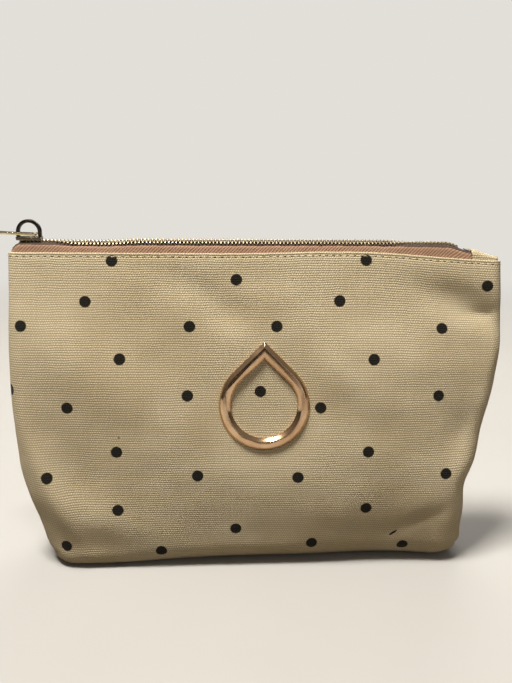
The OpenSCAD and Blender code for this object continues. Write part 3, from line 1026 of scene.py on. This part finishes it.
    def lining(self, side: Side) -> bpy.types.Object:
        """Makes one half of the lining."""
        grid, flat = self.loft(self.lining_mid, self.shape.rim_h - self.lining_drop, False)
        s, t = flat[..., 0], flat[..., 1]
        ripple = np.abs(value_noise(s / 16, t / 12, self.lining_seed)) * rising(t, 0, 20)
        inward = np.minimum(self.relief(flat, side, 0), 0.0) - self.lining_ripple * ripple
        grid = self.settle(grid + self.normals(grid) * inward[..., None], side.sag)
        grid[..., 2] += self.lining_lift
        name = f"{side.label}_lining_cloth"
        return cloth_sheet(name, side.mirror(grid), flat, side is Side.BACK, self.lining_t)

    def stitch_path(self, grid: np.ndarray, flat: np.ndarray, side: Side) -> np.ndarray:
        """Line of the topstitching on a panel's outer face, a little below the rim."""
        first = self.base_steps + self.roll_steps
        last = first + self.wall_steps + self.rim_steps
        down = flat[:, 0, 1]
        row = max(r for r in range(first, last) if down[r] >= self.stitch_down)
        part = (down[row] - self.stitch_down) / (down[row] - down[row + 1])
        line = grid[row] * (1 - part) + grid[row + 1] * part
        line = line + np.array([0.0, side.value * (self.canvas_t / 2 + self.stitch_lift), 0.0])
        skip = self.shape.side_steps + self.stitch_skip
        return line[skip:-skip]

    @staticmethod
    def between(line: np.ndarray, count: int) -> np.ndarray:
        """The part of a line from half a step after its first shape to half a step before its last."""
        walk = walked(row_steps(line[None]))[0]
        half = walk[-1] / (count - 1) / 2
        places = np.linspace(half, walk[-1] - half, len(line))
        return np.stack([np.interp(places, walk, line[:, k]) for k in range(3)], axis=1)


def path_instances_tree() -> bpy.types.NodeTree:
    """Makes the Geometry Nodes tree that sets a shape at even steps along a line, turned with it."""
    tree = bpy.data.node_groups.new("along_path", "GeometryNodeTree")
    kinds = {"Geometry": "NodeSocketGeometry", "Shape": "NodeSocketObject", "Count": "NodeSocketInt",
             "Size Spread": FLOAT, "Seed": "NodeSocketInt", "Finish": "NodeSocketMaterial"}
    for label, kind in kinds.items():
        tree.interface.new_socket(label, in_out="INPUT", socket_type=kind)
    tree.interface.new_socket("Geometry", in_out="OUTPUT", socket_type=kinds["Geometry"])
    b = NodeBuilder(tree)
    get, end = b.add("NodeGroupInput").outputs, b.add("NodeGroupOutput")
    line = b.fill("GeometryNodeMeshToCurve", {"Mesh": get["Geometry"]}).outputs["Curve"]
    even = b.fill("GeometryNodeResampleCurve", {"Curve": line, "Count": get["Count"]}, mode="COUNT")
    tangent = b.add("GeometryNodeInputTangent").outputs["Tangent"]
    turn = b.fill("FunctionNodeAxesToRotation",
                  {"Primary Axis": tangent, "Secondary Axis": (0.0, 0.0, 1.0)},
                  primary_axis="X", secondary_axis="Z")
    # The random value's limits and output go by number, because its other kinds share their names
    size = b.fill("FunctionNodeRandomValue", {"Seed": get["Seed"]}, data_type="FLOAT")
    b.put(b.math("SUBTRACT", 1.0, get["Size Spread"]), size.inputs[2])
    b.put(1.0, size.inputs[3])
    shape = b.fill("GeometryNodeObjectInfo", {"Object": get["Shape"]}).outputs["Geometry"]
    place = b.fill("GeometryNodeInstanceOnPoints", {
        "Points": even.outputs["Curve"], "Instance": shape, "Rotation": turn.outputs["Rotation"],
        "Scale": size.outputs[1]})
    real = b.fill("GeometryNodeRealizeInstances", {"Geometry": place.outputs["Instances"]})
    paint = b.fill("GeometryNodeSetMaterial",
                   {"Geometry": real.outputs["Geometry"], "Material": get["Finish"]})
    b.put(paint.outputs["Geometry"], end.inputs["Geometry"])
    return tree


@dataclass
class PathRow:
    """A row of equal small shapes along a line, made with Geometry Nodes."""

    tree: bpy.types.NodeTree
    shape: bpy.types.Object
    material: bpy.types.Material

    def build(self, name: str, line: np.ndarray, count: int, spread: float = 0.0,
              seed: int = 1) -> bpy.types.Object:
        """Makes the row as a plain mesh.

        Args:
            name: The piece's name.
            line: Points of the line in millimetres.
            count: Number of shapes from end to end.
            spread: Largest part by which a shape may be smaller.
            seed: Chooses the sizes.

        Returns:
            The finished piece.
        """
        mesh = bpy.data.meshes.new(name)
        mesh.from_pydata([tuple(p) for p in line * MM], [(i, i + 1) for i in range(len(line) - 1)], [])
        made = new_object(name, mesh)
        nodes = made.modifiers.new("row", "NODES")
        nodes.node_group = self.tree
        keys = {i.name: i.identifier for i in self.tree.interface.items_tree if i.in_out == "INPUT"}
        values = {"Shape": self.shape, "Count": count, "Size Spread": spread, "Seed": seed,
                  "Finish": self.material}
        for label, value in values.items():
            nodes[keys[label]] = value
        made.update_tag()
        bpy.context.view_layer.update()
        freeze(made)
        shade_smooth(made.data)
        return made


def stitch_shape(length: float, thread_d: float) -> bpy.types.Object:
    """Makes one stitch: a short thread that dives into the cloth at both ends.

    Args:
        length: Length on the cloth in millimetres.
        thread_d: Diameter of the thread in millimetres.

    Returns:
        The shape, along X with its middle at the origin.
    """
    steps, sides, thinning = 6, 6, 0.35
    points = []
    for i in range(steps + 1):
        u = 2 * i / steps - 1
        r = thread_d / 2 * (1 - thinning * u ** 4)
        for k in range(sides):
            a = 2 * math.pi * k / sides
            points.append((u * length / 2, r * math.cos(a), r * math.sin(a)))
    return outward(add_mesh("stitch_shape", np.array(points), tube_faces(steps + 1, sides)))


def outward(piece: bpy.types.Object, merge_mm: float = 0.0005) -> bpy.types.Object:
    """Merges a piece's doubles and turns its faces outwards."""
    bm = bmesh.new()
    bm.from_mesh(piece.data)
    bmesh.ops.remove_doubles(bm, verts=bm.verts, dist=merge_mm * MM)
    bmesh.ops.recalc_face_normals(bm, faces=bm.faces)
    bm.to_mesh(piece.data)
    bm.free()
    return piece


def chaikin(points: np.ndarray, rounds: int = 2) -> np.ndarray:
    """Rounds the corners of an open line and keeps its ends."""
    for _ in range(rounds):
        a, b = points[:-1], points[1:]
        cut = np.stack([0.75 * a + 0.25 * b, 0.25 * a + 0.75 * b], axis=1).reshape(-1, points.shape[1])
        points = np.concatenate([points[:1], cut[1:-1], points[-1:]])
    return points


@dataclass
class Zip:
    """Tapes, teeth and folded end tab of the zip, on the bag's own rim."""

    shape: BagShape
    cloth: ClothShell
    chain_rise: float = 5.0
    dip_l: float = 13.0
    dip_h: float = 3.7
    tape_start: float = -120.85
    tape_end: float = 107.3
    tape_t: float = 0.5
    tape_gap: float = 2.2
    tooth_jaw: float = 1.1
    tape_shoulder: float = 4.8
    tape_fall: float = 1.0
    tape_low: float = 0.78
    tape_skirt: float = 8.0
    tape_inset: float = 1.75
    first_tooth: float = -113.45
    tooth_pitch: float = 1.84
    tooth_count: int = 117
    tooth_l: float = 0.75
    tab_start: float = 107.55
    tab_end: float = 121.05
    tab_t: float = 0.62
    chain_turn: float = 32.0
    end_dip: float = 4.2
    pull_dip: float = 0.8
    tape_cut: Pair = (0.228, 0.0145)
    tab_cut: Pair = (0.024, 0.017)
    slider_end: float = -116.0
    # Start and length of the stretch in which the chain's turn begins, ends and fades across
    turn_from: Pair = (-105.0, 18.0)
    turn_to: Pair = (64.0, 13.0)
    turn_across: Pair = (2.2, 3.0)
    pull_to: Pair = (-74.0, 18.0)
    tab_high: float = 3.4
    tab_low: float = 0.3
    tab_crown: float = 0.8
    tab_inset: float = 1.45
    tab_rise: float = 0.5
    tab_foot: float = 4.0
    tab_steps: int = 18
    tab_arc_steps: int = 24
    tab_flat_shift: float = 400.0

    def rise(self, x: np.ndarray | float) -> np.ndarray | float:
        """Height of the chain's middle over the rim at a place along it."""
        part = (x - (self.tape_end - self.dip_l)) / self.dip_l
        return self.chain_rise - self.dip_h * smooth(part)

    def bend(self, points: np.ndarray) -> np.ndarray:
        """Turns the chain's top to the front between the ends of the slider's way and dips its open end.

        Args:
            points: Points on or near the chain in millimetres.

        Returns:
            The moved points.
        """
        x, y, z = points[..., 0], points[..., 1], points[..., 2]
        middle = self.shape.rim_h + self.rise(x)
        start = rising(x, *self.turn_from)
        turn = math.radians(self.chain_turn) * start * (1 - rising(x, *self.turn_to))
        turn = turn * (1 - rising(np.abs(y), *self.turn_across))
        over = np.clip((z - self.shape.rim_h) / self.chain_rise, 0, 1)
        out = points.copy()
        out[..., 1] = y * np.cos(turn) - (z - middle) * np.sin(turn)
        out[..., 2] = middle + y * np.sin(turn) + (z - middle) * np.cos(turn)
        under_pull = self.pull_dip * start * (1 - rising(x, *self.pull_to))
        out[..., 2] -= over * (self.end_dip * rising(-x, -self.slider_end, 5) + under_pull)
        return out

    def bend_mesh(self, piece: bpy.types.Object) -> bpy.types.Object:
        """Bends a finished piece with the chain."""
        flat = np.empty(len(piece.data.vertices) * 3)
        piece.data.vertices.foreach_get("co", flat)
        piece.data.vertices.foreach_set("co", (self.bend(flat.reshape(-1, 3) / MM) * MM).ravel())
        piece.data.update()
        return piece

    def chain_line(self, start: float) -> np.ndarray:
        """Line through the middles of one row of teeth."""
        xs = [start + self.tooth_pitch * i for i in range(self.tooth_count)]
        return np.array([(x, 0.0, self.shape.rim_h + self.rise(x)) for x in xs])

    def tape_section(self, x: float) -> np.ndarray:
        """Rounded section of the front tape from the chain down inside the rim."""
        up, rim = self.rise(x), self.shape.rim_h
        y = self.shape.rim_depth(x, self.tape_inset)
        fall = self.tape_fall * up / self.chain_rise
        low = self.tape_low * up / self.chain_rise
        line = np.array([
            (x, -self.tape_gap / 2, rim + up - 0.2 * low),
            (x, -self.tape_gap / 2 - self.tooth_jaw, rim + up - low),
            (x, -min(self.tape_shoulder, y - 0.2), rim + up - max(fall, low + 0.1)),
            (x, -y, rim + 0.6),
            (x, -y - self.shape.flare(self.tape_skirt), rim - self.tape_skirt),
        ])
        line = chaikin(line)
        share = np.clip((rim + up - line[:, 2]) / max(up, 0.1), 0, 1)
        pucker = 0.1 * math.sin(x * 1.03) + 0.07 * math.sin(x * 0.41 + 1.0)
        line[:, 1] += pucker * share * (1 - share) * 4
        line[:, 2] = self.cloth.settle(line)[:, 2] * share + line[:, 2] * (1 - share)
        return line

    @staticmethod
    def flat_across(grid: np.ndarray, shift: float = 0.0) -> np.ndarray:
        """Flat places of a grid whose rows run across the zip.

        Args:
            grid: Points as rows by columns by 3.
            shift: Distance by which the flat places move along the zip.

        Returns:
            Flat places as rows by columns by 3.
        """
        across = walked(row_steps(grid))
        return np.stack([grid[..., 0] + shift, across, np.zeros_like(across)], axis=2)

    def tape(self, side: Side) -> bpy.types.Object:
        """Makes one half of the zip tape."""
        xs = np.concatenate([np.linspace(self.tape_start, self.tape_start + 6, 8),
                             np.linspace(self.tape_start + 7, self.tape_end, 136)])
        grid = np.array([self.tape_section(float(x)) for x in xs])
        bent = self.bend(side.mirror(grid))
        name = f"{side.label}_tape_cloth"
        return cloth_sheet(name, bent, self.flat_across(grid), side is Side.FRONT, self.tape_t)

    def tooth_shape(self, side: Side) -> bpy.types.Object:
        """Makes one tooth: rounded jaws on the tape's edge and a bead that laps the middle."""
        half = [(-2.2, 0.45), (-2.05, 0.85), (-1.7, 1.0), (-0.75, 1.0), (-0.45, 0.8), (-0.3, 0.62),
                (0.18, 0.64), (0.4, 0.36)]
        loop = np.array(half + [(y, -z) for y, z in reversed(half)])
        middle = loop.mean(axis=0)
        cap = middle + (loop - middle) * 0.84
        layers = [(-0.5, cap), (-0.36, loop), (0.36, loop), (0.5, cap)]
        points = [(part * self.tooth_l, -side.value * y, z) for part, ring in layers for y, z in ring]
        faces = tube_faces(len(layers), len(loop))
        return outward(add_mesh(f"{side.label}_tooth_shape", np.array(points), faces))

    def tab_row(self, along: float, inset: float) -> list[Triple]:
        """Section of the end tab over both rims.

        Args:
            along: Distance from the tab's folded edge.
            inset: Distance of the cloth's middle inside its outer face.

        Returns:
            Points from the front foot over the top to the back foot.
        """
        x, rim = self.tab_start + along, self.shape.rim_h
        w = self.shape.rim_depth(x, self.tab_inset + inset)
        fall = float(smooth(along / (self.tab_end - self.tab_start)))
        high = self.tab_high + (self.tab_low - self.tab_high) * fall + self.tab_crown - inset
        arc = []
        for k in range(self.tab_arc_steps + 1):
            a = math.pi * k / self.tab_arc_steps
            arc.append((x, -w * math.copysign(abs(math.cos(a)) ** 0.75, math.cos(a)),
                        rim + self.tab_rise + high * math.sin(a) ** 0.7))
        reach, foot = w + self.shape.flare(self.tab_foot), rim - self.tab_foot
        return [(x, -reach, foot), *arc, (x, reach, foot)]

    def end_tab(self) -> bpy.types.Object:
        """Makes the folded canvas tab over the closed end of the zip."""
        step = (self.tab_end - self.tab_start) / self.tab_steps
        stations = [(3.2, 1.25), (0.6, 1.25), (0.05, 1.0), (0.0, 0.62), (0.15, 0.36)]
        stations += [(step * k, 0.31) for k in range(1, self.tab_steps + 1)]
        grid = np.array([self.tab_row(along, inset) for along, inset in stations])
        grid[..., 2] += 0.25 * value_noise(grid[..., 0] / 4, grid[..., 1] / 4, 5)
        grid = self.cloth.settle(grid)
        flat = self.flat_across(grid, self.tab_flat_shift)
        return cloth_sheet("zip_end_tab_cloth", grid, flat, False, self.tab_t)


@dataclass
class Hardware:
    """Metal pieces that keep the solids' shape, with their edges rounded."""

    node: str
    metal: Metal
    slot: str
    body: str
    edge: float
    segments: int = 3
    sharp_deg: float = 34.0
    weld: float = 0.002
    flat_deg: float = 0.5
    crisp_deg: float = 40.0

    def build(self, effects: Effects) -> bpy.types.Object:
        """Makes the rounded copy and dresses it."""
        bm = bmesh.new()
        bm.from_mesh(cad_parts[self.node].data)
        bmesh.ops.remove_doubles(bm, verts=bm.verts, dist=self.weld * MM)
        bmesh.ops.dissolve_limit(bm, angle_limit=math.radians(self.flat_deg), verts=bm.verts, edges=bm.edges)
        mesh = bpy.data.meshes.new(f"{self.node}_metal")
        bm.to_mesh(mesh)
        bm.free()
        made = new_object(f"{self.node}_metal", mesh)
        bevel = made.modifiers.new("rounded_edges", "BEVEL")
        bevel.width = self.edge * MM
        bevel.segments = self.segments
        bevel.limit_method = "ANGLE"
        bevel.angle_limit = math.radians(self.sharp_deg)
        bevel.use_clamp_overlap = True
        freeze(made)
        shade_smooth(made.data)
        made.data.set_sharp_from_angle(angle=math.radians(self.crisp_deg))
        finish = self.metal.value.build(f"{self.slot}_metal", effects)
        return dress(made, finish, self.slot, self.body, self.node)


@dataclass
class Studio:
    """Floor, soft light and camera."""

    floor_colour: Screen = (176, 173, 168)
    floor_patch: Screen = (170, 167, 161)
    bounce_colour: Screen = (108, 101, 92)
    back_colour: Screen = (226, 223, 217)
    room_low: Screen = (66, 61, 57)
    room_high: Screen = (138, 134, 127)
    room_front: Screen = (44, 38, 33)
    floor_rings: tuple[float, ...] = (300.0, 700.0, 1500.0, 4000.0, 12000.0)
    floor_sides: int = 48
    floor_drop: float = -0.02
    camera_at: Triple = (-8.4, -352.0, 192.0)
    azimuth: float = -1.39
    elevation: float = 12.45
    roll: float = 0.44
    focal_px: float = 700.0
    frame_px: float = 683.0

    def floor(self) -> None:
        """Makes the pale floor, which fades into the background far from the bag."""
        sides = self.floor_sides
        turns = [2 * math.pi * k / sides for k in range(sides)]
        points = [(0.0, 0.0, self.floor_drop)]
        points += [(r * math.cos(a), r * math.sin(a), self.floor_drop)
                   for r in self.floor_rings for a in turns]
        faces = [(0, 1 + k, 1 + (k + 1) % sides) for k in range(sides)]
        for r in range(len(self.floor_rings) - 1):
            a, b = 1 + r * sides, 1 + (r + 1) * sides
            faces += [(a + k, b + k, b + (k + 1) % sides, a + (k + 1) % sides) for k in range(sides)]
        made = add_mesh("studio_floor", np.array(points), faces)
        s = Surface("studio_floor")
        place = s.object_place()
        tone = s.b.mix(s.b.noise(place, 9.0, 4.0), linear(*self.floor_colour), linear(*self.floor_patch))
        ray = s.b.add("ShaderNodeLightPath")
        tone = s.b.mix(ray.outputs["Is Diffuse Ray"], tone, linear(*self.bounce_colour))
        s.set(Base_Color=tone, Roughness=0.7, Specular_IOR_Level=0.2)
        far = s.b.ramp(s.b.vector("LENGTH", place).outputs["Value"], 0.45, 1.3)
        seen = s.b.math("ADD", ray.outputs["Is Camera Ray"], ray.outputs["Is Glossy Ray"])
        seen = s.b.math("MINIMUM", s.b.math("ADD", seen, ray.outputs["Is Transmission Ray"]), 1.0)
        glow = s.b.add("ShaderNodeEmission")
        glow.inputs["Color"].default_value = linear(*self.back_colour)
        blend = s.b.add("ShaderNodeMixShader")
        s.b.put(s.b.math("MULTIPLY", far, seen), blend.inputs[0])
        s.b.put(s.shader.outputs[0], blend.inputs[1])
        s.b.put(glow.outputs[0], blend.inputs[2])
        s.b.put(blend.outputs[0], s.output.inputs["Surface"])
        made.data.materials.append(s.material)

    def world(self) -> None:
        """Sets the pale background and the even light of the room."""
        scene = bpy.context.scene
        scene.world = bpy.data.worlds.new("studio_world")
        scene.world.use_nodes = True
        tree = scene.world.node_tree
        b = NodeBuilder(tree)
        tree.nodes.clear()
        ray = b.add("ShaderNodeLightPath")
        seen = b.math("ADD", ray.outputs["Is Camera Ray"], ray.outputs["Is Transmission Ray"])
        seen = b.math("MINIMUM", seen, 1.0)
        up = b.split(b.add("ShaderNodeTexCoord").outputs["Generated"])
        room = b.mix(b.ramp(up["Z"], -0.1, 0.9), linear(*self.room_low), linear(*self.room_high))
        room = b.mix(b.ramp(up["Y"], -0.2, -0.9, 0.0, 0.75), room, linear(*self.room_front))
        sky = b.add("ShaderNodeBackground")
        b.put(b.mix(seen, room, linear(*self.back_colour)), sky.inputs["Color"])
        end = b.add("ShaderNodeOutputWorld")
        b.put(sky.outputs[0], end.inputs["Surface"])

    @staticmethod
    def lamp(name: str, at: Triple, aim: Triple, size: float, watts: float, tint: Triple) -> None:
        """Adds a soft square lamp.

        Args:
            name: The lamp's name.
            at: Place in metres.
            aim: Point that it faces.
            size: Side of the square in metres.
            watts: Power.
            tint: Colour of the light.
        """
        data = bpy.data.lights.new(name, "AREA")
        data.size = size
        data.energy = watts
        data.color = tint
        made = new_object(name, data)
        made.location = at
        made.rotation_euler = (Vector(aim) - Vector(at)).to_track_quat("-Z", "Y").to_euler()

    def camera(self) -> None:
        """Sets the camera at the photograph's angle."""
        az, el, roll = (math.radians(v) for v in (self.azimuth, self.elevation, self.roll))
        ahead = Vector((-math.sin(az) * math.cos(el), math.cos(az) * math.cos(el), -math.sin(el)))
        right = ahead.cross(Vector((0, 0, 1))).normalized()
        up = right.cross(ahead)
        across = right * math.cos(roll) + up * math.sin(roll)
        high = up * math.cos(roll) - right * math.sin(roll)
        data = bpy.data.cameras.new("photo_camera")
        data.sensor_fit = "AUTO"
        data.sensor_width = 36.0
        data.lens = data.sensor_width * self.focal_px / self.frame_px
        data.clip_start, data.clip_end = 0.01, 100.0
        made = new_object("photo_camera", data)
        turn = Matrix((across, high, -ahead)).transposed().to_4x4()
        made.matrix_world = Matrix.Translation(Vector(self.camera_at) * MM) @ turn
        bpy.context.scene.camera = made

    def build(self) -> None:
        """Makes the whole studio."""
        self.floor()
        self.world()
        self.lamp("key_light", (-0.42, -0.44, 1.92), (0.0, 0.0, 0.1), 0.5, 69.0, (1.0, 0.97, 0.93))
        self.lamp("fill_light", (0.7, -1.0, 0.5), (0.0, 0.0, 0.08), 0.9, 2.0, (1.0, 0.98, 0.96))
        self.lamp("back_light", (0.2, 0.9, 0.9), (0.0, 0.0, 0.1), 0.8, 8.0, (1.0, 0.98, 0.96))
        self.camera()
        bpy.context.scene.view_settings.view_transform = "Standard"


def main() -> None:
    """Builds every piece of the bag, then the studio, and logs each piece's face count."""
    logging.basicConfig(level=logging.INFO, format="%(name)s: %(message)s")
    dots = DotPrint()
    effects = Effects.build(dots)
    canvas = CanvasFinish(dot_radius=dots.radius).build("dotted_canvas", effects)
    plain = CanvasFinish().build("plain_canvas", effects, printed=False)
    lining = LiningFinish().build("cotton_lining", effects)
    tape = TapeFinish().build("zip_tape", effects)
    thread = ThreadFinish().build("sewing_thread", effects)
    # Painted shade: a dark colour for the dashes that stand for the shadow in the needle holes between
    # stitches.
    gap_shade = ThreadFinish((92, 74, 50)).build("pierced_canvas", effects)
    teeth = Metal.ZIP_TEETH.value.build("zip_teeth_metal", effects)
    shape = BagShape()
    cloth = ClothShell(shape)
    rows = path_instances_tree()
    stitch = PathRow(rows, stitch_shape(length=2.2, thread_d=0.55), thread)
    gap_shade_row = PathRow(rows, stitch_shape(length=1.5, thread_d=0.5), gap_shade)
    zip_row = Zip(shape, cloth)
    for side, seed in ((Side.FRONT, 21), (Side.BACK, 48)):
        label = side.label
        panel, grid, flat = cloth.panel(side, seed)
        dress(panel, canvas, "canvas", "bag", f"{label}_panel")
        inner = dress(cloth.lining(side), lining, "lining", "bag", f"{label}_lining")
        strip = dress(zip_row.tape(side), tape, "zip_tape", "bag", f"{label}_tape")
        line = cloth.stitch_path(grid, flat, side)
        count = int(row_steps(line[None]).sum() / cloth.stitch_pitch)
        sewn = stitch.build(f"{label}_topstitching", line, count, spread=0.18, seed=seed)
        dress(sewn, thread, "canvas", "bag")
        # Painted shade: dark dashes laid on the cloth between the stitches, where the needle holes lie in
        # shadow.
        between = cloth.between(line, count)
        gap_shade_dashes = gap_shade_row.build(f"{label}_needle_holes", between, count - 1, spread=0.3, seed=seed)
        dress(gap_shade_dashes, gap_shade, "canvas", "bag")
        tooth = zip_row.tooth_shape(side)
        start = zip_row.first_tooth + (zip_row.tooth_pitch / 2 if side is Side.BACK else 0.0)
        chain = zip_row.chain_line(start)
        made = PathRow(rows, tooth, teeth).build(f"{label}_teeth_metal", chain, zip_row.tooth_count)
        made.data.set_sharp_from_angle(angle=math.radians(35))
        dress(zip_row.bend_mesh(made), teeth, "zip_teeth", "bag", f"{label}_teeth")
        bpy.data.objects.remove(tooth)
    bpy.data.objects.remove(stitch.shape)
    bpy.data.objects.remove(gap_shade_row.shape)
    end = dress(zip_row.end_tab(), plain, "canvas", "bag", "zip_end_tab")
    for node in ("front_top_stop", "back_top_stop", "bottom_stop"):
        zip_row.bend_mesh(Hardware(node, Metal.STOPS, "stops", "bag", 0.18).build(effects))
    for piece in (
        Hardware("slider_body", Metal.SLIDER, "slider", "slider", 0.22),
        Hardware("slider_crown", Metal.CROWN, "crown", "slider", 0.5, 4),
        Hardware("pull_tab", Metal.PULL, "pull", "pull", 0.3, 3),
        Hardware("ornament", Metal.ORNAMENT, "ornament", "bag", 0.14, 2, 12.0),
        Hardware("ornament_washers", Metal.WASHERS, "washers", "bag", 0.08, 2),
    ):
        piece.build(effects)
    Studio().build()


if __name__ == "__main__":
    main()
